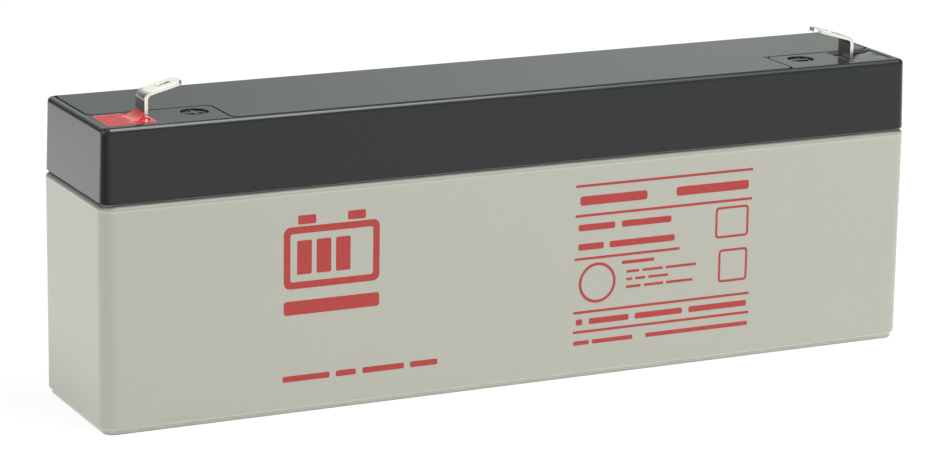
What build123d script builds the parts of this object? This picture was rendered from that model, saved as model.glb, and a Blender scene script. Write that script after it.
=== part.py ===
from build123d import *
import os
from math import cos, pi, radians, sin, tan

os.makedirs("parts", exist_ok=True)

# A sealed lead acid battery, 12 V in six cells. Millimetres, +Z up. The origin is the middle of the
# underside, +X runs along the length towards the negative terminal, and the front faces -Y.

# Overall size
length = 178.0
width = 34.0
container_height = 45.0
lid_rise = 15.0

# Container, one moulding with five partitions
cell_count = 6
wall = 2.5
floor = 2.0
partition = 1.4
corner_radius = 2.9
cell_corner_radius = 0.8
foot_height = 0.8
foot_inset = 0.6
sole_bevel = 0.2
rim_bevel = 0.6

# Tongue and groove that glue the lid on
tongue = 1.0
tongue_height = 3.0
tongue_clearance = 0.1
glue_line = 0.3
groove_rib = 1.2

# Lid, one moulding
lid_inset = 0.27
lid_draft = 1.72
lid_corner_radius = 2.0
lid_edge_radius = 1.0
lid_lower_bevel = 0.5
deck = 1.6
deck_depth = 4.8
core_wall = 1.8

# Valve cover, the plate let into the lid
cover_thickness = 1.6
cover_proud = 0.05
cover_gap = 0.3
cover_corner_radius = 1.5
cover_bevel = 0.15
cover_ledge = 1.0
end_rim = 1.5
side_rim = 1.0
notch_length = 25.0
notch_depth = 11.7
vent_radius = 0.35

# Vent chimneys in the lid and their rubber caps
chimney_radius = 3.2
chimney_bore_radius = 1.6
valve_well_radius = 5.8
valve_well_depth = 2.6
valve_well_floor = 1.5
valve_well_wall = 1.4
cap_wall = 1.6
cap_top = 1.2
cap_fit = 0.02
cap_skirt_gap = 0.3
cap_edge_bevel = 0.4

# Potting wells and the terminals that stand in them
well_length = 10.2
well_width = 9.6
well_corner_radius = 0.6
well_end_margin = 0.4
well_back_margin = 0.9
terminal_shift = 0.55
terminal_setback = 8.3
terminal_inset = 4.6
tab_width = 4.8
tab_thickness = 0.8
tab_bend_radius = 0.95
tab_above_lid = 12.0
tab_tip_chamfer = 1.1
tab_slot_length = 2.9
tab_slot_width = 1.2
tab_slot_setback = 3.3
positive_bend_height = 3.45
positive_rise = 14.4
negative_bend_height = 2.75
negative_rise = 16.0

# Epoxy in the wells
epoxy_below_rim = 0.15
epoxy_climb = 1.2
epoxy_spread_near = 0.85
epoxy_spread_far = 2.4
epoxy_edge = 0.06
epoxy_steps = 3

# Lead posts under the terminals
post_radius = 2.4
post_clearance = 0.15
post_reach = 3.5
pip_radius = 1.3
pip_clearance = 0.05
pip_height = 1.5
foot_overhang = 2.8

# Round recesses for the polarity marks
mark_setback = 19.45
mark_inset = 4.4
mark_recess_radius = 2.8
mark_recess_depth = 0.3

# Plates and mats
negative_plate = 1.9
positive_plate = 2.6
positives_per_cell = 3
plate_side_clearance = 0.5
plate_headroom = 9.0
stack_clearance = 0.2
mat_side_clearance = 0.2
mat_above_plates = 1.5
mat_fold_radius = 1.5

# Cast straps, lugs and the welds through the partitions
lug_thickness = 1.4
lug_width = 6.0
lug_height = 3.0
strap_width = 8.0
strap_thickness = 2.5
flag_thickness = 2.0
flag_height = 5.4
nugget_radius = 2.0
weld_clearance = 0.05
strap_end_clearance = 0.3

# Sizes that follow
inner_length = length - 2 * wall
inner_width = width - 2 * wall
cell_length = (inner_length - (cell_count - 1) * partition) / cell_count
cell_pitch = cell_length + partition
cell_x = [(cell - (cell_count - 1) / 2) * cell_pitch for cell in range(cell_count)]
partition_x = [x + cell_pitch / 2 for x in cell_x[:-1]]
tongue_top = container_height + tongue_height

cover_height = container_height + lid_rise
lid_top = cover_height - cover_proud
lid_height = lid_top - container_height
lid_length = length - 2 * lid_inset
lid_width = width - 2 * lid_inset
lid_draft_run = lid_height * tan(radians(lid_draft))
deck_top = cover_height - deck_depth
deck_bottom = deck_top - deck

cover_seat = cover_height - cover_thickness
cover_length = lid_length - 2 * (lid_draft_run + end_rim)
cover_width = lid_width - 2 * (lid_draft_run + side_rim)
cover_end = cover_length / 2
cover_front = -cover_width / 2
notch_end = cover_end - notch_length
notch_back = cover_front + notch_depth

valve_y = (notch_back - cover_front) / 2
chimney_top = cover_seat - cap_top
valve_well_bottom = deck_top - valve_well_depth
cap_radius = chimney_radius + cap_wall

well_x = cover_end - well_end_margin - well_length / 2
well_y = notch_back - well_back_margin - well_width / 2
terminal_y = notch_back - terminal_inset
positive_face_x = terminal_shift - (cover_end - terminal_setback)
negative_face_x = terminal_shift + (cover_end - terminal_setback)
positive_post_x = positive_face_x - post_reach
negative_post_x = negative_face_x + post_reach
epoxy_top = lid_top - epoxy_below_rim

mark_y = notch_back - mark_inset
positive_mark_x = terminal_shift - (cover_end - mark_setback)
negative_mark_x = terminal_shift + (cover_end - mark_setback)

negatives_per_cell = positives_per_cell + 1
stack_length = cell_length - 2 * stack_clearance
plates_length = negatives_per_cell * negative_plate + positives_per_cell * positive_plate
mat_thickness = (stack_length - plates_length) / (2 * positives_per_cell)
folded_mat = positive_plate + 2 * mat_thickness
plate_pitch = negative_plate + folded_mat
plate_width = inner_width - 2 * plate_side_clearance
mat_width = inner_width - 2 * mat_side_clearance
plate_top = container_height - plate_headroom
strap_bottom = plate_top + lug_height
strap_top = strap_bottom + strap_thickness
strap_y = -terminal_y
weld_z = strap_bottom + flag_height / 2


def pole_side(cell, positive):
    """Which long side (-1 front, 1 back) a cell's strap lies on. Both end terminals come out at the front."""
    return -1 if (cell % 2 == 0) == positive else 1


def cover_outline(grow):
    """Outline of the valve cover, stepped back at both front corners, grown by a gap or shrunk by a ledge."""
    with BuildSketch() as outline:
        Rectangle(cover_length, cover_width)
        with Locations((-cover_end, cover_front)):
            Rectangle(notch_length, notch_depth, align=(Align.MIN, Align.MIN), mode=Mode.SUBTRACT)
        with Locations((cover_end, cover_front)):
            Rectangle(notch_length, notch_depth, align=(Align.MAX, Align.MIN), mode=Mode.SUBTRACT)
        offset(amount=grow, kind=Kind.INTERSECTION)
        fillet(outline.vertices(), cover_corner_radius)
    return outline.sketch


def cell_floor_plan(margin):
    """The six cell openings, each made smaller all round by a margin."""
    with BuildSketch() as plan:
        with Locations([(x, 0) for x in cell_x]):
            RectangleRounded(cell_length - 2 * margin, inner_width - 2 * margin, cell_corner_radius)
    return plan.sketch


def joint_plan(clearance):
    """The tongue round the container's inside and along its partitions, widened by a clearance."""
    reach = tongue + clearance
    with BuildSketch() as plan:
        RectangleRounded(inner_length + 2 * reach, inner_width + 2 * reach, cell_corner_radius + reach)
        add(cell_floor_plan(clearance), mode=Mode.SUBTRACT)
    return plan.sketch


# Container: foot, walls, partitions, tongue, and a window for each weld between cells
with BuildPart() as container:
    with BuildSketch(Plane.XY.offset(foot_height)):
        RectangleRounded(length, width, corner_radius)
    extrude(amount=container_height - foot_height)
    chamfer(container.faces().sort_by(Axis.Z)[0].edges(), foot_inset)
    chamfer(container.faces().sort_by(Axis.Z)[-1].edges(), rim_bevel)
    with BuildSketch():
        RectangleRounded(length - 2 * foot_inset, width - 2 * foot_inset, corner_radius - foot_inset)
    extrude(amount=foot_height)
    chamfer(container.faces().sort_by(Axis.Z)[0].edges(), sole_bevel)
    with BuildSketch(Plane.XY.offset(container_height)):
        add(joint_plan(0))
    extrude(amount=tongue_height)
    with BuildSketch(Plane.XY.offset(floor)):
        add(cell_floor_plan(0))
    extrude(amount=container_height - floor, mode=Mode.SUBTRACT)
    for cell, x in enumerate(partition_x):
        window = Plane(origin=(x, pole_side(cell, False) * strap_y, weld_z), z_dir=(1, 0, 0))
        with BuildSketch(window):
            Circle(nugget_radius + weld_clearance)
        extrude(amount=partition, both=True, mode=Mode.SUBTRACT)
container.part.label = "container"
export_step(container.part, "parts/container.step")

# Adhesive: the cured bead between the tongue and the bottom of the lid's groove
with BuildPart() as lid_adhesive:
    with BuildSketch(Plane.XY.offset(tongue_top)):
        add(joint_plan(tongue_clearance))
    extrude(amount=glue_line)
lid_adhesive.part.label = "lid_adhesive"
export_step(lid_adhesive.part, "parts/lid_adhesive.step")

# Lid: drafted shell, glue grooves, a headspace over each cell, gas chamber, chimneys and potting wells
with BuildPart() as lid:
    with BuildSketch(Plane.XY.offset(container_height)):
        RectangleRounded(lid_length, lid_width, lid_corner_radius)
    extrude(amount=lid_height, taper=lid_draft)
    fillet(lid.faces().sort_by(Axis.Z)[-1].edges(), lid_edge_radius)
    chamfer(lid.faces().sort_by(Axis.Z)[0].edges(), lid_lower_bevel)
    with BuildSketch(Plane.XY.offset(container_height)):
        add(joint_plan(tongue_clearance))
    extrude(amount=tongue_height + glue_line, mode=Mode.SUBTRACT)
    with BuildSketch(Plane.XY.offset(container_height)):
        add(cell_floor_plan(tongue_clearance + groove_rib))
    extrude(amount=deck_bottom - container_height, mode=Mode.SUBTRACT)

    # Thick places under the notches are cored out from below
    core_length = notch_length - well_end_margin - well_length - 2 * core_wall
    core_width = inner_width / 2 - tongue_clearance - groove_rib + notch_back - core_wall
    with BuildSketch(Plane.XY.offset(deck_bottom)):
        for side in (-1, 1):
            with Locations((side * (notch_end + core_wall + core_length / 2), notch_back - core_wall)):
                Rectangle(core_length, core_width, align=(Align.CENTER, Align.MAX))
    extrude(amount=lid_top - core_wall - deck_bottom, mode=Mode.SUBTRACT)

    # Valve cover seat, and the gas chamber under it
    with BuildSketch(Plane.XY.offset(deck_top)):
        add(cover_outline(-cover_ledge))
    extrude(amount=cover_seat - deck_top, mode=Mode.SUBTRACT)
    with BuildSketch(Plane.XY.offset(cover_seat)):
        add(cover_outline(cover_gap))
    extrude(amount=cover_proud + cover_thickness, mode=Mode.SUBTRACT)

    # Valve wells with their chimneys
    valves = [(x, valve_y) for x in cell_x]
    with BuildSketch(Plane.XY.offset(valve_well_bottom - valve_well_floor)):
        with Locations(valves):
            Circle(valve_well_radius + valve_well_wall)
    extrude(amount=deck_bottom - valve_well_bottom + valve_well_floor)
    with BuildSketch(Plane.XY.offset(valve_well_bottom)):
        with Locations(valves):
            Circle(valve_well_radius)
            Circle(chimney_radius, mode=Mode.SUBTRACT)
    extrude(amount=valve_well_depth, mode=Mode.SUBTRACT)
    with BuildSketch(Plane.XY.offset(deck_top)):
        with Locations(valves):
            Circle(chimney_radius)
    extrude(amount=chimney_top - deck_top)
    with BuildSketch(Plane.XY.offset(chimney_top)):
        with Locations(valves):
            Circle(chimney_bore_radius)
    extrude(amount=-(chimney_top - valve_well_bottom + valve_well_floor), mode=Mode.SUBTRACT)

    # Potting wells, with a hole in each floor for the lead post
    with BuildSketch(Plane.XY.offset(deck_top)):
        with Locations((-well_x, well_y), (well_x, well_y)):
            RectangleRounded(well_length, well_width, well_corner_radius)
    extrude(amount=lid_height, mode=Mode.SUBTRACT)
    with BuildSketch(Plane.XY.offset(deck_bottom)):
        with Locations((positive_post_x, terminal_y), (negative_post_x, terminal_y)):
            Circle(post_radius + post_clearance)
    extrude(amount=deck, mode=Mode.SUBTRACT)

    # A round recess for each polarity mark
    with BuildSketch(Plane.XY.offset(lid_top - mark_recess_depth)):
        with Locations((positive_mark_x, mark_y), (negative_mark_x, mark_y)):
            Circle(mark_recess_radius)
    extrude(amount=mark_recess_depth, mode=Mode.SUBTRACT)
lid.part.label = "lid"
export_step(lid.part, "parts/lid.step")

# Valve cover: flat plate with a fine bevel, and three small vents at the edge of its right notch
with BuildPart() as valve_cover:
    with BuildSketch(Plane.XY.offset(cover_seat)):
        add(cover_outline(0))
    extrude(amount=cover_thickness)
    chamfer(valve_cover.faces().sort_by(Axis.Z)[-1].edges(), cover_bevel)
    vents = [(notch_end, notch_back), (negative_face_x, notch_back), (notch_end, cover_front)]
    with BuildSketch(Plane.XY.offset(cover_seat)):
        with Locations(vents):
            Circle(vent_radius)
    extrude(amount=cover_thickness, mode=Mode.SUBTRACT)
valve_cover.part.label = "valve_cover"
export_step(valve_cover.part, "parts/valve_cover.step")

# Rubber caps, one pressed over each chimney and held down by the cover
for cell, x in enumerate(cell_x):
    with BuildPart() as valve_cap:
        skirt_bottom = valve_well_bottom + cap_skirt_gap
        with BuildSketch(Plane.XY.offset(skirt_bottom)):
            with Locations((x, valve_y)):
                Circle(cap_radius)
        extrude(amount=cover_seat - skirt_bottom)
        chamfer(valve_cap.faces().sort_by(Axis.Z)[-1].edges(), cap_edge_bevel)
        with BuildSketch(Plane.XY.offset(skirt_bottom)):
            with Locations((x, valve_y)):
                Circle(chimney_radius + cap_fit)
        extrude(amount=chimney_top - skirt_bottom, mode=Mode.SUBTRACT)
    valve_cap.part.label = f"valve_cap_{cell + 1}"
    export_step(valve_cap.part, f"parts/{valve_cap.part.label}.step")

# Each end of the battery: side, bend height and rise of the blade, outer face and post position
ends = {
    "positive": (-1, positive_bend_height, positive_rise, positive_face_x, positive_post_x),
    "negative": (1, negative_bend_height, negative_rise, negative_face_x, negative_post_x),
}
for pole, (side, bend_height, rise, face_x, post_x) in ends.items():
    # Lead post: a round column burned onto the strap, with a pip that passes through the terminal's foot
    with BuildPart() as post:
        with BuildSketch(Plane.XY.offset(strap_top)):
            with Locations((post_x, terminal_y)):
                Circle(post_radius)
        extrude(amount=deck_top - strap_top)
        with BuildSketch(Plane.XY.offset(deck_top)):
            with Locations((post_x, terminal_y)):
                Circle(pip_radius)
        extrude(amount=pip_height)
    post.part.label = f"{pole}_post"
    export_step(post.part, f"parts/{post.part.label}.step")

    # Terminal: one strip with a foot on the post, an upright, and a blade bent in over the lid
    middle_x = face_x - side * tab_thickness / 2
    middle_radius = tab_bend_radius + tab_thickness / 2
    bend = radians(90 - rise)
    corner = middle_radius * tan(bend / 2)
    corner_z = lid_top + bend_height + corner
    blade = tab_above_lid - bend_height - middle_radius * bend + corner
    tip_x = middle_x - side * blade * cos(radians(rise))
    tip_z = corner_z + blade * sin(radians(rise))
    foot_z = deck_top + tab_thickness / 2
    along_blade = (-side * cos(radians(rise)), 0, sin(radians(rise)))
    off_blade = (side * sin(radians(rise)), 0, cos(radians(rise)))
    with BuildPart() as terminal:
        with BuildSketch(Plane.XZ.offset(-terminal_y)):
            with BuildLine():
                FilletPolyline(
                    (post_x + side * foot_overhang, foot_z),
                    (middle_x, foot_z),
                    (middle_x, corner_z),
                    (tip_x, tip_z),
                    radius=middle_radius,
                )
            trace(line_width=tab_thickness)
        extrude(amount=tab_width / 2, both=True)
        tip = Plane(origin=(tip_x, terminal_y, tip_z), x_dir=along_blade, z_dir=off_blade)
        tip_edges = terminal.edges().filter_by(Axis((tip_x, terminal_y, tip_z), off_blade))
        chamfer(tip_edges.sort_by(Axis((tip_x, terminal_y, tip_z), along_blade))[-2:], tab_tip_chamfer)
        with BuildSketch(tip):
            with Locations((-tab_slot_setback, 0)):
                SlotOverall(tab_slot_length, tab_slot_width)
        extrude(amount=tab_thickness, both=True, mode=Mode.SUBTRACT)
        with BuildSketch(Plane.XY.offset(deck_top)):
            with Locations((post_x, terminal_y)):
                Circle(pip_radius + pip_clearance)
        extrude(amount=2 * tab_thickness, mode=Mode.SUBTRACT)
    terminal.part.label = f"{pole}_terminal"
    export_step(terminal.part, f"parts/{terminal.part.label}.step")

    # Seal: the well poured full of epoxy, which climbs the upright in a hollow curve, wider on the open sides
    spreads = (epoxy_spread_near, epoxy_spread_far)
    with BuildPart() as seal:
        with BuildSketch(Plane.XY.offset(deck_top)):
            with Locations((side * well_x, well_y)):
                RectangleRounded(well_length, well_width, well_corner_radius)
        extrude(amount=epoxy_top - deck_top)
        for step in range(epoxy_steps + 1):
            angle = pi / 2 * step / epoxy_steps
            near, far = (epoxy_edge + (spread - epoxy_edge) * (1 - sin(angle)) for spread in spreads)
            lean = (far - near) / 2
            with BuildSketch(Plane.XY.offset(epoxy_top + epoxy_climb * (1 - cos(angle)))):
                with Locations((middle_x + side * lean, terminal_y - lean)):
                    Rectangle(tab_thickness + near + far, tab_width + near + far)
        loft(ruled=True)
        add(terminal.part, mode=Mode.SUBTRACT)
        add(post.part, mode=Mode.SUBTRACT)
    seal.part.label = f"{pole}_seal"
    export_step(seal.part, f"parts/{seal.part.label}.step")

# Plate groups: pasted plates with their lugs burned into a cast strap, welded through the partitions
for cell, middle in enumerate(cell_x):
    first_negative = middle - stack_length / 2 + negative_plate / 2
    first_positive = first_negative + plate_pitch / 2
    negative_x = [first_negative + plate * plate_pitch for plate in range(negatives_per_cell)]
    positive_x = [first_positive + plate * plate_pitch for plate in range(positives_per_cell)]
    groups = {
        "positive": (-1, positive_x, positive_plate, floor + mat_thickness, cell == 0),
        "negative": (1, negative_x, negative_plate, floor, cell == cell_count - 1),
    }
    for pole, (towards, plate_x, thickness, bottom, last) in groups.items():
        strap_side = pole_side(cell, pole == "positive") * strap_y
        welded_end = middle + towards * (cell_length / 2 - (strap_end_clearance if last else 0))
        free_end = towards * min(towards * x for x in plate_x) - towards * thickness / 2
        with BuildPart() as group:
            with BuildSketch(Plane.XY.offset(bottom)):
                with Locations([(x, 0) for x in plate_x]):
                    Rectangle(thickness, plate_width)
            extrude(amount=plate_top - bottom)
            with BuildSketch(Plane.XY.offset(plate_top)):
                with Locations([(x, strap_side) for x in plate_x]):
                    Rectangle(lug_thickness, lug_width)
            extrude(amount=lug_height)
            with BuildSketch(Plane.XY.offset(strap_bottom)):
                with Locations(((welded_end + free_end) / 2, strap_side)):
                    Rectangle(abs(welded_end - free_end), strap_width)
            extrude(amount=strap_thickness)
            if not last:
                with BuildSketch(Plane.XY.offset(strap_bottom)):
                    with Locations((welded_end - towards * flag_thickness / 2, strap_side)):
                        Rectangle(flag_thickness, strap_width)
                extrude(amount=flag_height)
                weld = Plane(origin=(welded_end, strap_side, weld_z), z_dir=(towards, 0, 0))
                with BuildSketch(weld):
                    Circle(nugget_radius)
                extrude(amount=partition / 2)
        group.part.label = f"{pole}_plate_group_{cell + 1}"
        export_step(group.part, f"parts/{group.part.label}.step")

    # Separators: an absorbent glass mat folded in a U round each positive plate
    for plate, x in enumerate(positive_x):
        with BuildPart() as separator:
            with BuildSketch(Plane.XZ) as section:
                with Locations((x, floor)):
                    Rectangle(folded_mat, plate_top + mat_above_plates - floor, align=(Align.CENTER, Align.MIN))
                fillet(section.vertices().group_by(Axis.Z)[0], mat_fold_radius)
                with Locations((x, floor + mat_thickness)):
                    Rectangle(positive_plate, plate_top, align=(Align.CENTER, Align.MIN), mode=Mode.SUBTRACT)
            extrude(amount=mat_width / 2, both=True)
        separator.part.label = f"separator_{cell + 1}_{plate + 1}"
        export_step(separator.part, f"parts/{separator.part.label}.step")
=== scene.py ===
from math import cos, exp, hypot, pi, radians, sin

import bmesh
import bpy
from mathutils import Matrix, Vector


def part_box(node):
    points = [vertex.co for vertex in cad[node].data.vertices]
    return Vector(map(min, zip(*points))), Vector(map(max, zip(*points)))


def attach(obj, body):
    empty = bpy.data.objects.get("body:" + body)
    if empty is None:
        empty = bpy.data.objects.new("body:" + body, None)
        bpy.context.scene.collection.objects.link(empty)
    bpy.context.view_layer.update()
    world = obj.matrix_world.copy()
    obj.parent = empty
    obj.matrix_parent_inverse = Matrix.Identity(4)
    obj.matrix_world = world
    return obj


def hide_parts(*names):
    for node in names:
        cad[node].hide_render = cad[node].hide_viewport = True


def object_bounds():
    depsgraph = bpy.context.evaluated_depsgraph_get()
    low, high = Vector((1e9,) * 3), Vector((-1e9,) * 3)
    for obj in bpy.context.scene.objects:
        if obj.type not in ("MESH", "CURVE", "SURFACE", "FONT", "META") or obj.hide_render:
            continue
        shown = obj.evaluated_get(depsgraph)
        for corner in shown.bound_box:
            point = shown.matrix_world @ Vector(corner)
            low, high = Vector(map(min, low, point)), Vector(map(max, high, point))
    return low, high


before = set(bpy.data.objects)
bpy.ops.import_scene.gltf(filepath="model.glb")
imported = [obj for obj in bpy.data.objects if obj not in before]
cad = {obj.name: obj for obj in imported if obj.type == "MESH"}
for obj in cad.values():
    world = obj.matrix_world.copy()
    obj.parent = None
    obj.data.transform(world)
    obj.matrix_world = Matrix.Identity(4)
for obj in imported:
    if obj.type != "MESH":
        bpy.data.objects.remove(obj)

cad_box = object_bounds()

# Container: one injection moulding in grey ABS with six cells. The mould was spark eroded, which leaves
# a fine satin on the walls, and the edges come off the tool slightly soft.
MM = 0.001
# The sockets of a Mix node that blends two colours
SHARE, FROM, TO, BLEND = 0, 6, 7, 2
GLOSS_DRIFT = 0.008
TRIMMED_ROUGHNESS = 0.8


def linear(hex_colour):
    """An sRGB hex colour as the linear RGBA that a shader takes."""
    channels = [int(hex_colour[i:i + 2], 16) / 255 for i in (1, 3, 5)]
    return [c / 12.92 if c <= 0.04045 else ((c + 0.055) / 1.055) ** 2.4 for c in channels] + [1.0]


def add_node(tree, kind, inputs=None, **options):
    """Adds a shader node, sets its options, and gives each input a value or another node's output."""
    made = tree.nodes.new("ShaderNode" + kind)
    for name, value in options.items():
        setattr(made, name, value)
    for name, value in (inputs or {}).items():
        if isinstance(value, bpy.types.NodeSocket):
            tree.links.new(value, made.inputs[name])
        else:
            made.inputs[name].default_value = value
    return made


def per_mm(size):
    """The scale of a pattern in object coordinates whose features are this many millimetres across."""
    return 1 / (size * MM)


def new_material(name):
    """An empty material with its output node, and the object coordinates that its patterns use."""
    material = bpy.data.materials.new(name)
    material.use_nodes = True
    tree = material.node_tree
    tree.nodes.clear()
    output = add_node(tree, "OutputMaterial")
    place = add_node(tree, "TexCoord").outputs["Object"]
    return material, tree, output, place


def wear(name, material):
    """Gives a CAD node its finish."""
    for slot in cad[name].material_slots:
        slot.material = material


def moulded_abs(name, colour, shade, roughness, grain_depth, soft_edge, painted_light_bands=(), dull_edges=False):
    """Moulded ABS: an even colour that drifts a little with the flow, over a fine spark-eroded grain."""
    material, tree, output, place = new_material(name)
    flow = add_node(tree, "TexNoise", {"Vector": place, "Scale": per_mm(38), "Detail": 2.0, "Roughness": 0.4})
    body = add_node(
        tree, "Mix", {SHARE: flow.outputs["Fac"], FROM: linear(colour), TO: linear(shade)}, data_type="RGBA"
    )
    # Each band of painted light and shade fades in from one height in millimetres to another, and stays
    # beyond it
    height = add_node(tree, "SeparateXYZ", {"Vector": place})
    for start, end, tone in painted_light_bands:
        amount = add_node(
            tree, "MapRange",
            {"Value": height.outputs["Z"], "From Min": start * MM, "From Max": end * MM},
        )
        body = add_node(
            tree, "Mix", {SHARE: amount.outputs["Result"], FROM: body.outputs[BLEND], TO: linear(tone)},
            data_type="RGBA",
        )
    patches = add_node(tree, "TexNoise", {"Vector": place, "Scale": per_mm(7), "Detail": 3.0})
    gloss = add_node(
        tree, "MapRange",
        {"Value": patches.outputs["Fac"], "From Min": 0.3, "From Max": 0.7,
         "To Min": roughness - GLOSS_DRIFT, "To Max": roughness + GLOSS_DRIFT},
    )
    if dull_edges:
        # Trimming the moulding leaves its sloped edges and sides dull
        normal = add_node(tree, "NewGeometry").outputs["True Normal"]
        facing = add_node(tree, "SeparateXYZ", {"Vector": normal})
        gloss = add_node(
            tree, "MapRange",
            {"Value": facing.outputs["Z"], "From Min": 0.85, "From Max": 0.98,
             "To Min": TRIMMED_ROUGHNESS, "To Max": gloss.outputs["Result"]},
        )
    rounded = add_node(tree, "Bevel", {"Radius": soft_edge * MM}, samples=6)
    # The real grain is near 0.05 mm, and is drawn at 0.3 mm so that it shows
    grain = add_node(tree, "TexNoise", {"Vector": place, "Scale": per_mm(0.3), "Detail": 1.0})
    bump = add_node(
        tree, "Bump",
        {"Height": grain.outputs["Fac"], "Strength": 1.0, "Distance": grain_depth * MM,
         "Normal": rounded.outputs["Normal"]},
    )
    surface = add_node(
        tree, "BsdfPrincipled",
        {"Base Color": body.outputs[BLEND], "Roughness": gloss.outputs["Result"], "IOR": 1.5,
         "Normal": bump.outputs["Normal"]},
    )
    tree.links.new(surface.outputs["BSDF"], output.inputs["Surface"])
    return material


# Satin grey, with painted bands by height: a painted highlight on the rim, painted shade up to the lid,
# painted light on the foot's chamfer and foot, and a painted shadow at the very bottom
grey_abs = moulded_abs(
    "grey_abs", "#BDBDB3", "#BABAAF", roughness=0.42, grain_depth=0.004, soft_edge=0.25,
    painted_light_bands=[
        (43.7, 43.9, "#CCCABF"), (43.9, 44.95, "#585852"),
        (1.45, 1.35, "#DADACF"), (0.85, 0.75, "#CBCBC0"), (0.3, 0.1, "#AAAAA0"),
    ],
)
wear("container", grey_abs)

# Plate groups: lead grids pasted by machine and cured, with their lugs burned into a strap of cast lead.
# The positive paste is dark brown and velvety, the negative one is dull grey, and both are crazed.
CELLS = range(1, 7)
WIRE_SPACING = 5


def pasted_plate(name, colour, dust):
    """Cured paste: a fine, dry, granular surface with pale dust in its hollows."""
    material, tree, output, place = new_material(name)
    clouds = add_node(
        tree, "TexNoise", {"Vector": place, "Scale": per_mm(5), "Detail": 6.0, "Roughness": 0.6}
    )
    body = add_node(
        tree, "Mix", {SHARE: clouds.outputs["Fac"], FROM: linear(colour), TO: linear(dust)}, data_type="RGBA"
    )
    # The grid's wires show through the paste as faint ridges
    upright = add_node(tree, "Mapping", {"Vector": place, "Rotation": (0, radians(90), 0)})
    wires = add_node(
        tree, "TexBrick",
        {"Vector": upright.outputs["Vector"], "Scale": per_mm(WIRE_SPACING),
         "Mortar Size": 0.06, "Brick Width": 1.0, "Row Height": 1.0},
        offset=0.0,
    )
    paste = add_node(tree, "TexNoise", {"Vector": place, "Scale": per_mm(0.4), "Detail": 4.0})
    relief = add_node(tree, "Math", {0: paste.outputs["Fac"], 1: wires.outputs["Fac"]}, operation="ADD")
    bump = add_node(tree, "Bump", {"Height": relief.outputs[0], "Strength": 1.0, "Distance": 0.05 * MM})
    surface = add_node(
        tree, "BsdfPrincipled",
        {"Base Color": body.outputs[BLEND], "Roughness": 0.85, "IOR": 1.5, "Normal": bump.outputs["Normal"]},
    )
    tree.links.new(surface.outputs["BSDF"], output.inputs["Surface"])
    return material


brown_paste = pasted_plate("cured_positive_paste", "#3A2A22", "#4A3830")
grey_paste = pasted_plate("cured_negative_paste", "#75777A", "#8A8C8E")
for cell in CELLS:
    wear(f"positive_plate_group_{cell}", brown_paste)
    wear(f"negative_plate_group_{cell}", grey_paste)

# Separators: absorbent mats of glass microfibre, laid like paper and folded round each positive plate.
# They hold the acid, so they are a soft, slightly translucent white with loose fibres in every direction.
MATS = range(1, 4)
glass_mat, tree, output, place = new_material("glass_microfibre_mat")
# The real fibres are a few thousandths of a millimetre thick, and are drawn as tufts of 0.5 mm
fibres = add_node(tree, "TexNoise", {"Vector": place, "Scale": per_mm(0.5), "Detail": 8.0, "Distortion": 1.5})
tint = add_node(
    tree, "Mix", {SHARE: fibres.outputs["Fac"], FROM: linear("#E9E9E4"), TO: linear("#D5D6D1")},
    data_type="RGBA",
)
felt = add_node(tree, "Bump", {"Height": fibres.outputs["Fac"], "Strength": 1.0, "Distance": 0.08 * MM})
surface = add_node(
    tree, "BsdfPrincipled",
    {"Base Color": tint.outputs[BLEND], "Roughness": 0.9, "IOR": 1.5, "Sheen Weight": 0.2,
     "Normal": felt.outputs["Normal"]},
)
tree.links.new(surface.outputs["BSDF"], output.inputs["Surface"])
for cell in CELLS:
    for mat in MATS:
        wear(f"separator_{cell}_{mat}", glass_mat)

# Lead posts: cast round, burned onto the end straps by torch, and left as they cooled. Cast lead is dull
# blue grey with a cloudy oxide skin and small pits.
cast_lead, tree, output, place = new_material("cast_lead")
oxide = add_node(tree, "TexNoise", {"Vector": place, "Scale": per_mm(1.5), "Detail": 5.0})
tint = add_node(
    tree, "Mix", {SHARE: oxide.outputs["Fac"], FROM: linear("#8B8E93"), TO: linear("#63666B")},
    data_type="RGBA",
)
dull = add_node(
    tree, "MapRange",
    {"Value": oxide.outputs["Fac"], "From Min": 0.3, "From Max": 0.7, "To Min": 0.4, "To Max": 0.62},
)
pits = add_node(tree, "TexVoronoi", {"Vector": place, "Scale": per_mm(0.9)})
dents = add_node(tree, "Bump", {"Height": pits.outputs["Distance"], "Strength": 0.6, "Distance": 0.03 * MM})
surface = add_node(
    tree, "BsdfPrincipled",
    {"Base Color": tint.outputs[BLEND], "Metallic": 1.0, "Roughness": dull.outputs["Result"],
     "Normal": dents.outputs["Normal"]},
)
tree.links.new(surface.outputs["BSDF"], output.inputs["Surface"])
for pole in ("positive", "negative"):
    wear(pole + "_post", cast_lead)

# Lid and valve cover: two mouldings in charcoal ABS with a soft gloss. The lid is cemented on over the
# container's tongue, and the cover is let into the lid over the six rubber caps.
CHARCOAL, CHARCOAL_SHADE = "#1A2020", "#191F1F"
LID_ROUGHNESS = 0.21
LID_GRAIN = 0.0006
# Painted light: the lid's lowest edge, which faces down onto the lit container, is painted pale
charcoal_abs = moulded_abs(
    "charcoal_abs", CHARCOAL, CHARCOAL_SHADE, LID_ROUGHNESS, LID_GRAIN, soft_edge=0.08,
    painted_light_bands=[(45.45, 44.9, "#C4C4BE")],
)
wear("lid", charcoal_abs)
trimmed_abs = moulded_abs(
    "trimmed_charcoal_abs", CHARCOAL, CHARCOAL_SHADE, LID_ROUGHNESS, LID_GRAIN, soft_edge=0.03,
    dull_edges=True,
)
wear("valve_cover", trimmed_abs)
lid_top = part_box("lid")[1].z

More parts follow.
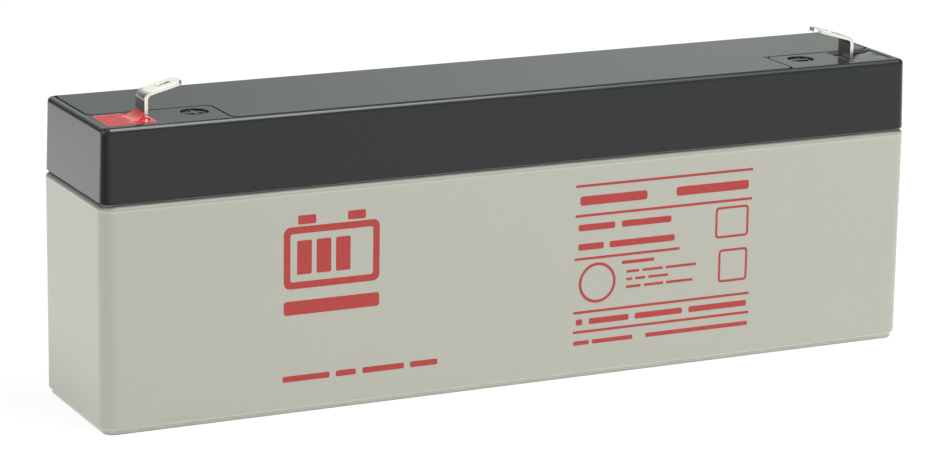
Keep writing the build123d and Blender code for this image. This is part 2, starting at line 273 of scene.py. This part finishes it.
# Valve caps: black rubber thimbles moulded in a flash mould and pressed over the chimneys. The rubber
# is matt, with a bloom of grey on its skin.
cap_rubber, tree, output, place = new_material("moulded_rubber")
bloom = add_node(tree, "TexNoise", {"Vector": place, "Scale": per_mm(2), "Detail": 5.0})
tint = add_node(
    tree, "Mix", {SHARE: bloom.outputs["Fac"], FROM: linear("#232323"), TO: linear("#33332F")},
    data_type="RGBA",
)
skin = add_node(tree, "TexNoise", {"Vector": place, "Scale": per_mm(0.25), "Detail": 2.0})
bump = add_node(tree, "Bump", {"Height": skin.outputs["Fac"], "Strength": 1.0, "Distance": 0.01 * MM})
surface = add_node(
    tree, "BsdfPrincipled",
    {"Base Color": tint.outputs[BLEND], "Roughness": 0.7, "IOR": 1.52, "Normal": bump.outputs["Normal"]},
)
tree.links.new(surface.outputs["BSDF"], output.inputs["Surface"])
for cell in CELLS:
    wear(f"valve_cap_{cell}", cap_rubber)

# Polarity marks: a plus and a minus moulded with the lid, raised from the floors of two round recesses
# beside the terminals.
MARK_LENGTH, MARK_STROKE, MARK_HEIGHT, MARK_EDGE = 3.4, 0.85, 0.2, 0.08
MARK_Y, PLUS_X, MINUS_X = -7.98, -66.78, 67.88
RECESS_DEPTH = 0.3


def new_object(name, shape):
    """Turns a shape built in bmesh into an object of the scene, with its faces turned outwards."""
    bmesh.ops.recalc_face_normals(shape, faces=shape.faces)
    mesh = bpy.data.meshes.new(name)
    shape.to_mesh(mesh)
    shape.free()
    made = bpy.data.objects.new(name, mesh)
    bpy.context.scene.collection.objects.link(made)
    return made


def lift(shape, faces, by, **options):
    """Extrudes faces by a vector."""
    lifted = bmesh.ops.extrude_face_region(shape, geom=faces, **options)["geom"]
    moved = [part for part in lifted if isinstance(part, bmesh.types.BMVert)]
    bmesh.ops.translate(shape, verts=moved, vec=by)


def raised_mark(name, centre_x, outline):
    """A flat-topped mark with soft edges, standing on the floor of its recess."""
    shape = bmesh.new()
    foot = lid_top - RECESS_DEPTH * MM
    corners = [shape.verts.new((centre_x * MM + x * MM, MARK_Y * MM + y * MM, foot)) for x, y in outline]
    lift(shape, [shape.faces.new(corners)], (0, 0, MARK_HEIGHT * MM))
    mark = new_object(name, shape)
    soft = mark.modifiers.new("soft_edges", "BEVEL")
    soft.width, soft.segments, soft.limit_method = MARK_EDGE * MM, 2, "ANGLE"
    mark.data.materials.append(charcoal_abs)
    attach(mark, "root")


half, arm = MARK_LENGTH / 2, MARK_STROKE / 2
plus = [(arm, arm), (arm, half), (-arm, half), (-arm, arm), (-half, arm), (-half, -arm),
        (-arm, -arm), (-arm, -half), (arm, -half), (arm, -arm), (half, -arm), (half, arm)]
minus = [(half, arm), (-half, arm), (-half, -arm), (half, -arm)]
raised_mark("plus_mark", PLUS_X, plus)
raised_mark("minus_mark", MINUS_X, minus)

# Terminals: strip of tin-plated brass, pierced, cropped at the corners of its tip and bent in over the
# lid. Rolling leaves fine lines along the strip, and the tin is bright and slightly warm.
STRIP, STRIP_WIDTH, STRIP_EDGE = 0.8, 4.8, 0.1
TERMINAL_Y = -8.181
FOOT_Z, FOOT_REACH = 55.6, 6.7
BEND, BEND_STEPS = 1.35, 16
BLANK, TIP_CROP = 22.475, 1.1
SLOT = {"from_tip": 3.3, "length": 2.9, "width": 1.2}
ARC = range(0, 91, 10)
SQUARE = radians(80)
# How far each upright's outer face stands from the middle of the battery
POSITIVE_FACE, NEGATIVE_FACE = 77.931, 79.031
ROLLING_DRIFT = 0.03


def flat_blank():
    """Half the strip before bending, as (along, across) points, with the slot on its middle line."""
    half_slot = SLOT["width"] / 2
    slot_left = BLANK - SLOT["from_tip"] - SLOT["length"] / 2 + half_slot
    slot_right = slot_left + SLOT["length"] - 2 * half_slot
    rim = [(slot_left - half_slot * cos(radians(a)), half_slot * sin(radians(a))) for a in ARC]
    rim += [(slot_right + half_slot * sin(radians(a)), half_slot * cos(radians(a))) for a in ARC]
    reach = STRIP_WIDTH / 2
    return [(0, 0), *rim, (BLANK, 0), (BLANK, reach - TIP_CROP), (BLANK - TIP_CROP, reach), (0, reach)]


def bent(along, runs):
    """Where a point on the strip's middle ends up after (straight, turn) runs, and the heading there."""
    inwards, height, heading = 0.0, FOOT_Z, 0.0
    for straight, turn in runs:
        step = min(along, straight)
        inwards, height = inwards + step * cos(heading), height + step * sin(heading)
        along -= step
        swept = min(along / BEND, abs(turn)) * (1 if turn > 0 else -1)
        hand = BEND if turn > 0 else -BEND
        inwards += hand * (sin(heading + swept) - sin(heading))
        height -= hand * (cos(heading + swept) - cos(heading))
        heading += swept
        along -= abs(swept) * BEND
    return inwards, height, heading


def tab(name, side, face, upright, rise):
    """One terminal: its blank with rounded edges, bent up from the foot and in over the lid."""
    shape = bmesh.new()
    for across in (1, -1):
        shape.faces.new([shape.verts.new((s, across * w, -STRIP / 2)) for s, w in flat_blank()])
    bmesh.ops.remove_doubles(shape, verts=shape.verts, dist=1e-5)
    bmesh.ops.recalc_face_normals(shape, faces=shape.faces)
    lift(shape, list(shape.faces), (0, 0, STRIP), use_keep_orig=True)
    bmesh.ops.recalc_face_normals(shape, faces=shape.faces)
    rims = [edge for edge in shape.edges if edge.is_manifold and edge.calc_face_angle() > SQUARE]
    bmesh.ops.bevel(shape, geom=rims, offset=STRIP_EDGE, segments=4, profile=0.5, affect="EDGES")
    # On the flat blank the sheared and pierced faces are the ones that stand upright
    for cut_face in shape.faces:
        cut_face.material_index = 1 if abs(cut_face.normal.z) < 0.1 else 0
    bend = radians(90 - rise)
    runs = [(FOOT_REACH - BEND, pi / 2), (upright, -bend), (BLANK, 0)]
    for start, arc in ((runs[0][0], pi / 2), (runs[0][0] + BEND * pi / 2 + upright, bend)):
        for cut in range(BEND_STEPS + 1):
            bmesh.ops.bisect_plane(
                shape, geom=[*shape.verts, *shape.edges, *shape.faces],
                plane_co=(start + arc * BEND * cut / BEND_STEPS, 0, 0), plane_no=(1, 0, 0),
            )
    for vert in shape.verts:
        inwards, height, heading = bent(vert.co.x, runs)
        x = face + FOOT_REACH - STRIP / 2 - inwards + vert.co.z * sin(heading)
        vert.co = (side * x * MM, (TERMINAL_Y + vert.co.y) * MM, (height + vert.co.z * cos(heading)) * MM)
    piece = new_object(name, shape)
    piece.data.shade_smooth()
    piece.modifiers.new("flat_faces", "WEIGHTED_NORMAL")
    piece.data.materials.append(tin)
    piece.data.materials.append(rough_sheared_tin_with_painted_highlight)
    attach(piece, "root")
    return piece


def tinned_brass(name, colour, shade, roughness):
    """Bright tin on brass strip, with rolling lines that run along the strip and so change across it."""
    material, tree, output, place = new_material(name)
    # The real lines lie a few hundredths of a millimetre apart, and are drawn 0.3 mm apart so that they
    # show. Each of them keeps its look for about 17 mm along the strip.
    along, apart = 60, per_mm(0.3)
    across = add_node(tree, "Mapping", {"Vector": place, "Scale": (along, apart, along)})
    lines = add_node(tree, "TexNoise", {"Vector": across.outputs["Vector"], "Scale": 1.0, "Detail": 2.0})
    cloud = add_node(tree, "TexNoise", {"Vector": place, "Scale": per_mm(1.6), "Detail": 3.0})
    tint = add_node(
        tree, "Mix", {SHARE: cloud.outputs["Fac"], FROM: linear(colour), TO: linear(shade)}, data_type="RGBA"
    )
    gloss = add_node(
        tree, "MapRange",
        {"Value": lines.outputs["Fac"], "From Min": 0.3, "From Max": 0.7,
         "To Min": roughness - ROLLING_DRIFT, "To Max": roughness + ROLLING_DRIFT},
    )
    bump = add_node(tree, "Bump", {"Height": lines.outputs["Fac"], "Strength": 1.0, "Distance": 0.001 * MM})
    surface = add_node(
        tree, "BsdfPrincipled",
        {"Base Color": tint.outputs[BLEND], "Metallic": 1.0, "Roughness": gloss.outputs["Result"],
         "Normal": bump.outputs["Normal"]},
    )
    tree.links.new(surface.outputs["BSDF"], output.inputs["Surface"])
    return material


tin = tinned_brass("tinned_brass", "#E9E6DD", "#DEDBD1", 0.22)
# Shearing and piercing tear the edges, so they are rougher. Their paler colour is a painted highlight,
# which shows them as pale lines beside the rolled faces
rough_sheared_tin_with_painted_highlight = tinned_brass("rough_sheared_tinned_brass_with_painted_highlight", "#FFFDF8", "#F4F1E8", 0.25)
positive = tab("positive_tab", -1, POSITIVE_FACE, upright=6.45, rise=14.4)
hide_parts("positive_terminal")
negative = tab("negative_tab", 1, NEGATIVE_FACE, upright=5.75, rise=16.0)
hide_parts("negative_terminal")

# Seals: two-part epoxy poured into the wells round the terminals, red at the positive one and black at
# the negative one. It cures glossy, and it has crept up the tab and a little up the walls of the well.
WELL = {"length": 10.2, "outer": 86.381, "front": -14.081, "back": -4.481, "corner": 0.6}
EPOXY_FOOT, EPOXY_LEVEL = 56.75, 59.8
WALL_CREEP, WALL_REACH = 0.12, 0.3
# How high the epoxy stands on the tab and how far it has spread, on its outer, back, inner and front sides
CREEP = {"outer": (1.35, 3.4), "back": (1.2, 1.0), "inner": (1.0, 0.95), "front": (0.8, 1.7)}
# The creep is this share higher at the tab's back edge than at its middle, and lower at its front edge,
# and beyond the edges it stays between the two limits
CREEP_LEAN, LEAN_LEAST, LEAN_MOST = 0.16, 0.8, 1.2
# Powers that shape the fall of the creep away from the tab, and the rise of a dished surface to the wall
CREEP_FALL, DISH_RISE = 2.3, 1.6
# The skin isn't quite level: it ripples by this much over about 5 mm
RIPPLE = 0.02
SEAL_RINGS = 44


def rounded_ring(left, right, front, back, radius, along=26, around=8):
    """A rounded rectangle as (x, y, direction outwards), with the same count whatever its size."""
    corners = [(right - radius, front + radius), (right - radius, back - radius),
               (left + radius, back - radius), (left + radius, front + radius)]
    ring = []
    for turn, (x, y) in enumerate(corners):
        for step in range(around + 1):
            angle = radians(90 * (turn - 1) + 90 * step / around)
            ring.append((x + radius * cos(angle), y + radius * sin(angle), angle))
        next_x, next_y = corners[(turn + 1) % 4]
        for step in range(1, along):
            part = step / along
            side_x, side_y = x + (next_x - x) * part, y + (next_y - y) * part
            ring.append((side_x + radius * cos(angle), side_y + radius * sin(angle), angle))
    return ring


def poured_seal(name, side, face, epoxy, sunk, climb, dish):
    """Epoxy between the walls of the well and the tab, as rings from the tab outwards, closed underneath."""
    inner = sorted((face * side, (face - STRIP) * side))
    outer = sorted((WELL["outer"] * side, (WELL["outer"] - WELL["length"]) * side))
    tab_ring = rounded_ring(*inner, TERMINAL_Y - STRIP_WIDTH / 2, TERMINAL_Y + STRIP_WIDTH / 2, STRIP_EDGE)
    wall_ring = rounded_ring(*outer, WELL["front"], WELL["back"], WELL["corner"])
    outwards, inwards = (0, pi) if side > 0 else (pi, 0)
    towards = {"outer": outwards, "back": pi / 2, "inner": inwards, "front": -pi / 2}
    shape = bmesh.new()
    grid = []
    for ring in range(SEAL_RINGS + 1):
        part = (1 - cos(pi * ring / SEAL_RINGS)) / 2
        row = []
        for (tab_x, tab_y, angle), (wall_x, wall_y, _) in zip(tab_ring, wall_ring):
            span = hypot(wall_x - tab_x, wall_y - tab_y)
            share = {way: max(cos(angle - at), 0) ** 2 for way, at in towards.items()}
            height = sum(share[way] * CREEP[way][0] for way in CREEP)
            reach = min(sum(share[way] * CREEP[way][1] for way in CREEP), span)
            x, y = tab_x + (wall_x - tab_x) * part, tab_y + (wall_y - tab_y) * part
            lean = 1 + CREEP_LEAN * (y - TERMINAL_Y) / (STRIP_WIDTH / 2)
            lean = min(max(lean, LEAN_LEAST), LEAN_MOST)
            z = EPOXY_LEVEL - sunk
            z += climb * height * lean * max(0, 1 - part * span / reach) ** CREEP_FALL
            z += WALL_CREEP * exp(-(1 - part) * span / WALL_REACH) + dish * part ** DISH_RISE
            z += RIPPLE * sin(1.3 * x + 0.4) * sin(1.1 * y)
            row.append(shape.verts.new((x * MM, y * MM, z * MM)))
        grid.append(row)
    under_wall = [shape.verts.new((x * MM, y * MM, EPOXY_FOOT * MM)) for x, y, _ in wall_ring]
    under_tab = [shape.verts.new((x * MM, y * MM, EPOXY_FOOT * MM)) for x, y, _ in tab_ring]
    rows = [under_tab, *grid, under_wall, under_tab]
    count = len(under_tab)
    for near, far in zip(rows, rows[1:]):
        for at in range(count):
            after = (at + 1) % count
            shape.faces.new((near[at], far[at], far[after], near[after]))
    seal = new_object(name, shape)
    seal.data.shade_smooth()
    seal.data.set_sharp_from_angle(angle=radians(50))
    seal.data.materials.append(epoxy)
    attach(seal, "root")
    return seal


def cured_epoxy(name, colour, deep):
    """Poured epoxy: a deep, even colour under a glossy skin that is not quite level."""
    material, tree, output, place = new_material(name)
    cloud = add_node(tree, "TexNoise", {"Vector": place, "Scale": per_mm(3), "Detail": 2.0})
    body = add_node(
        tree, "Mix", {SHARE: cloud.outputs["Fac"], FROM: linear(colour), TO: linear(deep)}, data_type="RGBA"
    )
    bump = add_node(tree, "Bump", {"Height": cloud.outputs["Fac"], "Strength": 1.0, "Distance": 0.005 * MM})
    surface = add_node(
        tree, "BsdfPrincipled",
        {"Base Color": body.outputs[BLEND], "Roughness": 0.1, "IOR": 1.55, "Normal": bump.outputs["Normal"]},
    )
    tree.links.new(surface.outputs["BSDF"], output.inputs["Surface"])
    return material


red_epoxy = cured_epoxy("red_epoxy", "#CE1620", "#BC0F1A")
black_epoxy = cured_epoxy("black_epoxy", "#1B1C1C", "#151616")
# The red well is filled level, and the black one is short of epoxy and dished
positive = poured_seal("red_potting", -1, POSITIVE_FACE, red_epoxy, sunk=0.0, climb=1.0, dish=0.0)
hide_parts("positive_seal")
negative = poured_seal("black_potting", 1, NEGATIVE_FACE, black_epoxy, sunk=0.65, climb=0.4, dish=0.55)
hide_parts("negative_seal")
wear("lid_adhesive", black_epoxy)

# Print: red ink, pad printed on the front face of the container in one pass, about a hundredth of a
# millimetre thick. It is made of plain rules, bars and outlines.
INK = 0.01 * MM
RULE_LEFT, RULE_RIGHT, RULE_WIDTH = 11.3, 52.1, 0.54
BAR_ROUNDING = 0.3
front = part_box("container")[0].y


def ink_plate(name, fields):
    """Closed, very thin plates on the front face, each from one outline or from two, one inside the other."""
    shape = bmesh.new()
    for outlines in fields:
        loops = [[shape.verts.new((x * MM, front, z * MM)) for x, z in outline] for outline in outlines]
        if len(loops) == 1:
            faces = [shape.faces.new(loops[0])]
        else:
            outer, inner = loops
            count = len(outer)
            faces = [
                shape.faces.new((outer[i], outer[(i + 1) % count], inner[(i + 1) % count], inner[i]))
                for i in range(count)
            ]
        lift(shape, faces, (0, -INK, 0))
    plate = new_object(name, shape)
    plate.data.materials.append(pad_ink)
    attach(plate, "root")


def bar(left, bottom, right, top, radius=0.0, steps=5):
    """The outline of a plain bar, with rounded corners where it has a radius."""
    if not radius:
        return [(left, bottom), (right, bottom), (right, top), (left, top)]
    corners = [(right - radius, bottom + radius, -90), (right - radius, top - radius, 0),
               (left + radius, top - radius, 90), (left + radius, bottom + radius, 180)]
    outline = []
    for x, z, start in corners:
        for step in range(steps + 1):
            turn = radians(start + 90 * step / steps)
            outline.append((x + radius * cos(turn), z + radius * sin(turn)))
    return outline


# A pad leaves an even film that lets a little of the grey through in fine specks
pad_ink, tree, output, place = new_material("pad_printed_ink")
specks = add_node(tree, "TexNoise", {"Vector": place, "Scale": per_mm(0.35), "Detail": 2.0})
film = add_node(
    tree, "MapRange",
    {"Value": specks.outputs["Fac"], "From Min": 0.25, "From Max": 0.5, "To Min": 0.75, "To Max": 1.0},
)
tint = add_node(
    tree, "Mix", {SHARE: film.outputs["Result"], FROM: linear("#BD6A62"), TO: linear("#B63A36")},
    data_type="RGBA",
)
surface = add_node(tree, "BsdfPrincipled", {"Base Color": tint.outputs[BLEND], "Roughness": 0.4, "IOR": 1.5})
tree.links.new(surface.outputs["BSDF"], output.inputs["Surface"])

rules = [
    [bar(RULE_LEFT, z - RULE_WIDTH / 2, RULE_RIGHT, z + RULE_WIDTH / 2)] for z in (39.95, 33.8, 13.7, 9.6)
]
rules.append([bar(RULE_LEFT, 24.58, 35.4, 25.12)])
ink_plate("print_rules", rules)

# Rows of plain bars stand between the rules. Each row has the height of its middle and how tall its bars
# are, and then the left and right end of each bar, all in millimetres.
rows = {
    (36.85, 1.9): [(12.3, 27.6), (34.3, 51.2)],
    (31.3, 1.35): [(12.1, 20.4), (21.9, 33.3)],
    (27.3, 1.35): [(12.1, 17.9), (19.2, 34.2)],
    (11.65, 1.25): [(11.9, 13.4), (14.9, 24.0), (25.4, 36.4), (37.9, 51.5)],
    (7.3, 0.9): [(11.4, 15.0), (15.7, 25.0), (28.0, 51.9)],
    (7.15, 1.2): [(-52.2, -42.2), (-40.9, -36.6), (-35.2, -26.2), (-24.9, -18.9)],
    (23.2, 0.7): [(22.1, 29.6)],
    (21.2, 0.55): [(23.2, 26.2), (26.9, 31.6), (32.3, 39.4)],
    (19.6, 0.55): [(23.2, 24.6), (25.3, 27.6), (28.3, 32.9)],
    (18.0, 0.55): [(23.2, 26.6), (27.3, 31.8), (32.5, 38.6)],
}
ink_plate("print_bars", [
    [bar(left, z - height / 2, right, z + height / 2, height * BAR_ROUNDING)]
    for (z, height), spans in rows.items() for left, right in spans
])

# Plain outlines: a ring, two squares, and a battery with its two poles, three cells and a bar below it
ink_plate("print_outlines", [
    [bar(12.4, 15.4, 20.8, 23.8, 4.19, 12), bar(13.0, 16.0, 20.2, 23.2, 3.59, 12)],
    [bar(43.6, 26.0, 51.4, 32.6, 0.8), bar(44.1, 26.5, 50.9, 32.1, 0.4)],
    [bar(44.6, 16.6, 51.4, 23.6, 0.8), bar(45.1, 17.1, 50.9, 23.1, 0.4)],
    [bar(-52.0, 25.2, -31.7, 37.6, 1.4), bar(-50.6, 26.6, -33.1, 36.2, 0.5)],
    [bar(-49.0, 38.0, -45.2, 39.8, 0.3)],
    [bar(-38.5, 38.0, -34.7, 39.8, 0.3)],
    [bar(-49.2, 28.0, -46.1, 34.8, 0.3)],
    [bar(-45.1, 28.0, -42.0, 34.8, 0.3)],
    [bar(-41.0, 28.0, -37.9, 34.8, 0.3)],
    [bar(-52.0, 20.0, -31.7, 22.8, 0.6)],
])

# Floor: a wide sheet of white board. The camera sees it near white, so that only a faint shadow of the
# battery is left on it. Glossy surfaces see a painted glow on it behind the battery, and a painted dark
# patch at the left, which only they see and which darkens what the corners mirror.
FLOOR_REACH = 4.0
# The camera sees this share of the board as plain white, and the rest as lit board with its shadow
PLAIN_SHARE, PLAIN_WHITE = 0.8, 1.1
NEAR_CORNER = (-0.087, -0.015)
# The painted glow behind the battery fades out between these distances from the battery's middle
LIT_NEAR, LIT_FAR = 0.33, 0.48
PAINTED_DARK_LEAST = 0.17
# Along the bearing from the battery's near corner, in degrees from straight back towards the right: where
# each share of the painted glow or of the painted dark patch starts to change, where it stops, and its value
# before and after
FLOOR_SHARES = {
    "lit": (-50, -34, 0.0, 0.85),
    "lit_end": (80, 110, 1.0, 0.0),
    "painted_dark": (-90, -45, 0.5, 0.0),
    "painted_dark_end": (-175, -130, 0.0, 1.0),
}

white_board, tree, output, place = new_material("white_board")
path = add_node(tree, "LightPath")
sheet = add_node(tree, "BsdfDiffuse", {"Color": linear("#E2E2E0")})
seen = add_node(tree, "Emission", {"Strength": PLAIN_WHITE})
shown = add_node(tree, "Math", {0: path.outputs["Is Camera Ray"], 1: PLAIN_SHARE}, operation="MULTIPLY")
for_camera = add_node(tree, "MixShader", {0: shown.outputs[0], 1: sheet.outputs[0], 2: seen.outputs[0]})
split = add_node(tree, "SeparateXYZ", {"Vector": place})
across = add_node(tree, "Math", {0: split.outputs["X"], 1: -NEAR_CORNER[0]}, operation="ADD")
deep = add_node(tree, "Math", {0: split.outputs["Y"], 1: -NEAR_CORNER[1]}, operation="ADD")
bearing = add_node(tree, "Math", {0: across.outputs[0], 1: deep.outputs[0]}, operation="ARCTAN2")
shares = {
    name: add_node(
        tree, "MapRange",
        {"Value": bearing.outputs[0], "From Min": radians(start), "From Max": radians(end),
         "To Min": before, "To Max": after},
    ).outputs["Result"]
    for name, (start, end, before, after) in FLOOR_SHARES.items()
}
distance = add_node(tree, "VectorMath", {0: place}, operation="LENGTH")
near = add_node(
    tree, "MapRange",
    {"Value": distance.outputs["Value"], "From Min": LIT_NEAR, "From Max": LIT_FAR,
     "To Min": 1.0, "To Max": 0.0},
)
# A painted glow on the board behind the battery, which only glossy surfaces see
behind = add_node(tree, "Math", {0: shares["lit"], 1: shares["lit_end"]}, operation="MULTIPLY")
behind = add_node(tree, "Math", {0: behind.outputs[0], 1: near.outputs[0]}, operation="MULTIPLY")
mirrored = add_node(
    tree, "Math", {0: path.outputs["Is Glossy Ray"], 1: behind.outputs[0]}, operation="MULTIPLY"
)
glow = add_node(tree, "Emission", {"Strength": mirrored.outputs[0]})
# A painted dark patch round the near corner and to the left, which only glossy surfaces see
painted_dark = add_node(
    tree, "Math", {0: shares["painted_dark"], 1: shares["painted_dark_end"], 2: PAINTED_DARK_LEAST}, operation="MULTIPLY_ADD"
)
painted_dark = add_node(tree, "Math", {0: painted_dark.outputs[0], 1: path.outputs["Is Glossy Ray"]}, operation="MULTIPLY")
black = add_node(tree, "BsdfDiffuse", {"Color": linear("#050505")})
with_painted_dark = add_node(tree, "MixShader", {0: painted_dark.outputs[0], 1: for_camera.outputs[0], 2: black.outputs[0]})
both = add_node(tree, "AddShader", {0: with_painted_dark.outputs[0], 1: glow.outputs[0]})
tree.links.new(both.outputs[0], output.inputs["Surface"])

floor_mesh = bpy.data.meshes.new("floor")
board_corners = [
    (x * FLOOR_REACH, y * FLOOR_REACH, cad_box[0][2]) for x, y in ((-1, -1), (1, -1), (1, 1), (-1, 1))
]
floor_mesh.from_pydata(board_corners, [], [(0, 1, 2, 3)])
floor_mesh.materials.append(white_board)
floor = bpy.data.objects.new("floor", floor_mesh)
bpy.context.scene.collection.objects.link(floor)

# World: white all round for the camera. Glossy surfaces see a white backdrop low behind the battery,
# which fades out to the left and right, a pale haze round it, and a grey room in front. A plain grey is
# what the room adds to the light.
BACKDROP_TINT, BACKDROP_SLOPE = "#F9FFFA", 0.9
ROOM_LIGHT = 0.4
world = bpy.data.worlds.new("studio")
bpy.context.scene.world = world
world.use_nodes = True
sky = world.node_tree
sky.nodes.clear()
sky_output = add_node(sky, "OutputWorld")
sky_path = add_node(sky, "LightPath")
direction = add_node(sky, "SeparateXYZ", {"Vector": add_node(sky, "TexCoord").outputs["Generated"]})
rightward, backward, upward = (direction.outputs[axis] for axis in "XYZ")
# The backdrop's top edge slopes down to the right
slope = add_node(sky, "Math", {0: rightward, 1: BACKDROP_SLOPE, 2: upward}, operation="MULTIPLY_ADD")
bearing = add_node(sky, "Math", {0: rightward, 1: backward}, operation="ARCTAN2")
# What each share follows, where it starts to change, where it stops, and its value before and after
SKY_SHARES = {
    "below_edge": (slope.outputs[0], 0.7, 0.82, 1.0, 0.0),
    "from_left": (bearing.outputs[0], radians(-24), radians(13), 0.04, 1.0),
    "to_right": (bearing.outputs[0], radians(55), radians(75), 1.0, 0.0),
    "upwards": (upward, sin(radians(14)), sin(radians(20)), 0.06, 1.0),
    "rightwards": (rightward, 0.34, 0.5, 0.0, 0.32),
    "room": (backward, -0.15, 0.05, 0.6, 0.06),
    "haze": (bearing.outputs[0], radians(-35), radians(-14), 0.0, 0.26),
}
sky_shares = {
    name: add_node(
        sky, "MapRange",
        {"Value": value, "From Min": start, "From Max": end, "To Min": before, "To Max": after},
    ).outputs["Result"]
    for name, (value, start, end, before, after) in SKY_SHARES.items()
}
backdrop = add_node(
    sky, "Math", {0: sky_shares["from_left"], 1: sky_shares["to_right"]}, operation="MULTIPLY"
)
backdrop = add_node(sky, "Math", {0: backdrop.outputs[0], 1: sky_shares["below_edge"]}, operation="MULTIPLY")
lit = add_node(sky, "Math", {0: sky_shares["upwards"], 1: sky_shares["rightwards"]}, operation="ADD")
haze = add_node(
    sky, "Math", {0: sky_shares["haze"], 1: sky_shares["to_right"], 2: sky_shares["room"]},
    operation="MULTIPLY_ADD",
)
mirrored = add_node(
    sky, "Math", {0: backdrop.outputs[0], 1: lit.outputs[0], 2: haze.outputs[0]}, operation="MULTIPLY_ADD"
)
white = add_node(sky, "Background", {"Strength": 1.0})
studio = add_node(sky, "Background", {"Color": linear(BACKDROP_TINT), "Strength": mirrored.outputs[0]})
fill = add_node(sky, "Background", {"Strength": ROOM_LIGHT})
reflected = add_node(
    sky, "Math", {0: sky_path.outputs["Is Glossy Ray"], 1: sky_path.outputs["Is Transmission Ray"]},
    operation="MAXIMUM",
)
sky_mix = add_node(sky, "MixShader", {0: reflected.outputs[0], 1: fill.outputs[0], 2: studio.outputs[0]})
sky_mix = add_node(
    sky, "MixShader", {0: sky_path.outputs["Is Camera Ray"], 1: sky_mix.outputs[0], 2: white.outputs[0]}
)
sky.links.new(sky_mix.outputs[0], sky_output.inputs["Surface"])

# Lamps: two softboxes overhead in front, a weak one above and a wide, weak one at the left. They are
# plain, large and even, so what they leave on the glossy lid is a soft sheen.
LAMP_HEIGHT = 0.86
# A lamp that looks straight down is aimed a hair off its foot, because its turn is open otherwise
HAIR = 0.0001


def softbox(name, place, aim, width, depth, radiance):
    """An area lamp of even radiance, where 1 is as bright as white, turned from its place to its aim."""
    lamp = bpy.data.lights.new(name, "AREA")
    lamp.shape = "RECTANGLE"
    lamp.size, lamp.size_y = width, depth
    lamp.energy = radiance * pi * width * depth
    holder = bpy.data.objects.new(name, lamp)
    holder.location = place
    holder.rotation_euler = (Vector(aim) - Vector(place)).to_track_quat("-Z", "Y").to_euler()
    bpy.context.scene.collection.objects.link(holder)


softbox("overhead_softbox", (0.235, -0.45, LAMP_HEIGHT), (0.235, HAIR - 0.45, 0), 0.37, 1.1, 7.6)
softbox("right_overhead_softbox", (0.58, -0.45, LAMP_HEIGHT), (0.58, HAIR - 0.45, 0), 0.32, 1.1, 1.5)
softbox("top_softbox", (-0.3, -0.1, LAMP_HEIGHT), (-0.3, HAIR - 0.1, 0), 0.5, 0.5, 1.0)
softbox("left_softbox", (-1.25, 0.3, 0.5), (0, 0, 0.04), 1.2, 1.1, 1.72)

# Camera: a long lens, from the front left and a little above. Its focal length is in pixels of the
# picture, which is 930 pixels wide.
IMAGE_WIDTH = 930
FOCAL_PIXELS = 3568.5
CAMERA_PLACE = (-0.311717, -0.629802, 0.208142)
YAW, PITCH, ROLL = radians(25.9697), radians(14.406), radians(0.8791)
lens = bpy.data.cameras.new("camera")
lens.sensor_width = 36
lens.lens = FOCAL_PIXELS / IMAGE_WIDTH * lens.sensor_width
lens.clip_start, lens.clip_end = 0.05, 20
ahead = Vector((sin(YAW) * cos(PITCH), cos(YAW) * cos(PITCH), -sin(PITCH)))
level = Vector((cos(YAW), -sin(YAW), 0))
above = level.cross(ahead)
right = cos(ROLL) * level + sin(ROLL) * above
up = cos(ROLL) * above - sin(ROLL) * level
camera = bpy.data.objects.new("camera", lens)
turn = Matrix((right, up, -ahead)).transposed().to_4x4()
camera.matrix_world = Matrix.Translation(CAMERA_PLACE) @ turn
bpy.context.scene.collection.objects.link(camera)
bpy.context.scene.camera = camera
bpy.context.scene.view_settings.view_transform = "Standard"
